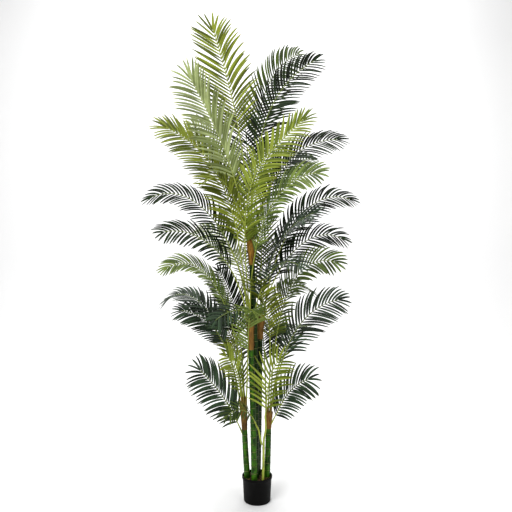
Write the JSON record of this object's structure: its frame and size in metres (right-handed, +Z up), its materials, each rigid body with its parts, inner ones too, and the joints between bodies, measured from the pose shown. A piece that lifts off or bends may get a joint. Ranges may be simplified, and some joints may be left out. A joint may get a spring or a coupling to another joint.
{
  "type": "artificial potted areca palm",
  "caption": "Tall artificial areca palm with ringed green canes, brown leaf sheaths and arching feather fronds, standing in a plain round nursery pot.",
  "frame": {"origin": "on the floor under the middle of the pot's flat underside", "axes": "+Z up, -Y towards the viewer of the picture, +X to its right"},
  "size_m": [1.3704, 1.0618, 3.0021],
  "materials": {
    "pot": "matte",
    "filling": "matte",
    "cane": "satin",
    "crownshaft": "matte",
    "thin_stem": "satin",
    "foliage_lime": "satin",
    "foliage_olive": "satin",
    "foliage_sage": "satin",
    "foliage_fresh": "satin",
    "foliage_mid": "satin",
    "foliage_dark": "satin",
    "foliage_blue": "satin"
  },
  "bodies": {
    "root": {"pot": "pot", "pot_filling": "filling", "cane_tall": "cane", "cane_front": "cane", "cane_rear": "cane", "cane_left": "cane", "cane_right": "cane", "crownshaft_tall": "crownshaft", "crownshaft_front": "crownshaft", "crownshaft_rear": "crownshaft", "crownshaft_left": "crownshaft", "crownshaft_right": "crownshaft", "thin_stem": "thin_stem", "thin_stem_branch": "thin_stem", "frond_tall_01": "foliage_olive", "frond_tall_02": "foliage_dark", "frond_tall_03": "foliage_mid", "frond_tall_04": "foliage_dark", "frond_tall_05": "foliage_sage", "frond_tall_06": "foliage_sage", "frond_tall_07": "foliage_olive", "frond_tall_08": "foliage_dark", "frond_tall_09": "foliage_mid", "frond_tall_10": "foliage_mid", "frond_tall_11": "foliage_dark", "frond_front_01": "foliage_olive", "frond_front_02": "foliage_lime", "frond_front_03": "foliage_fresh", "frond_front_04": "foliage_dark", "frond_front_05": "foliage_dark", "frond_front_06": "foliage_sage", "frond_front_07": "foliage_blue", "frond_front_08": "foliage_blue", "frond_rear_01": "foliage_blue", "frond_rear_02": "foliage_mid", "frond_rear_03": "foliage_dark", "frond_rear_04": "foliage_dark", "frond_rear_05": "foliage_mid", "frond_rear_06": "foliage_dark", "frond_rear_07": "foliage_olive", "frond_left_01": "foliage_fresh", "frond_left_02": "foliage_dark", "frond_left_03": "foliage_blue", "frond_left_04": "foliage_lime", "frond_left_05": "foliage_blue", "frond_left_06": "foliage_olive", "frond_left_07": "foliage_fresh", "frond_left_08": "foliage_mid", "frond_left_09": "foliage_blue", "frond_right_01": "foliage_olive", "frond_right_02": "foliage_mid", "frond_right_03": "foliage_blue", "frond_right_04": "foliage_mid", "frond_right_05": "foliage_dark", "frond_right_06": "foliage_blue", "frond_thin_left_01": "foliage_mid", "frond_thin_right_01": "foliage_lime"}
  },
  "joints": []
}
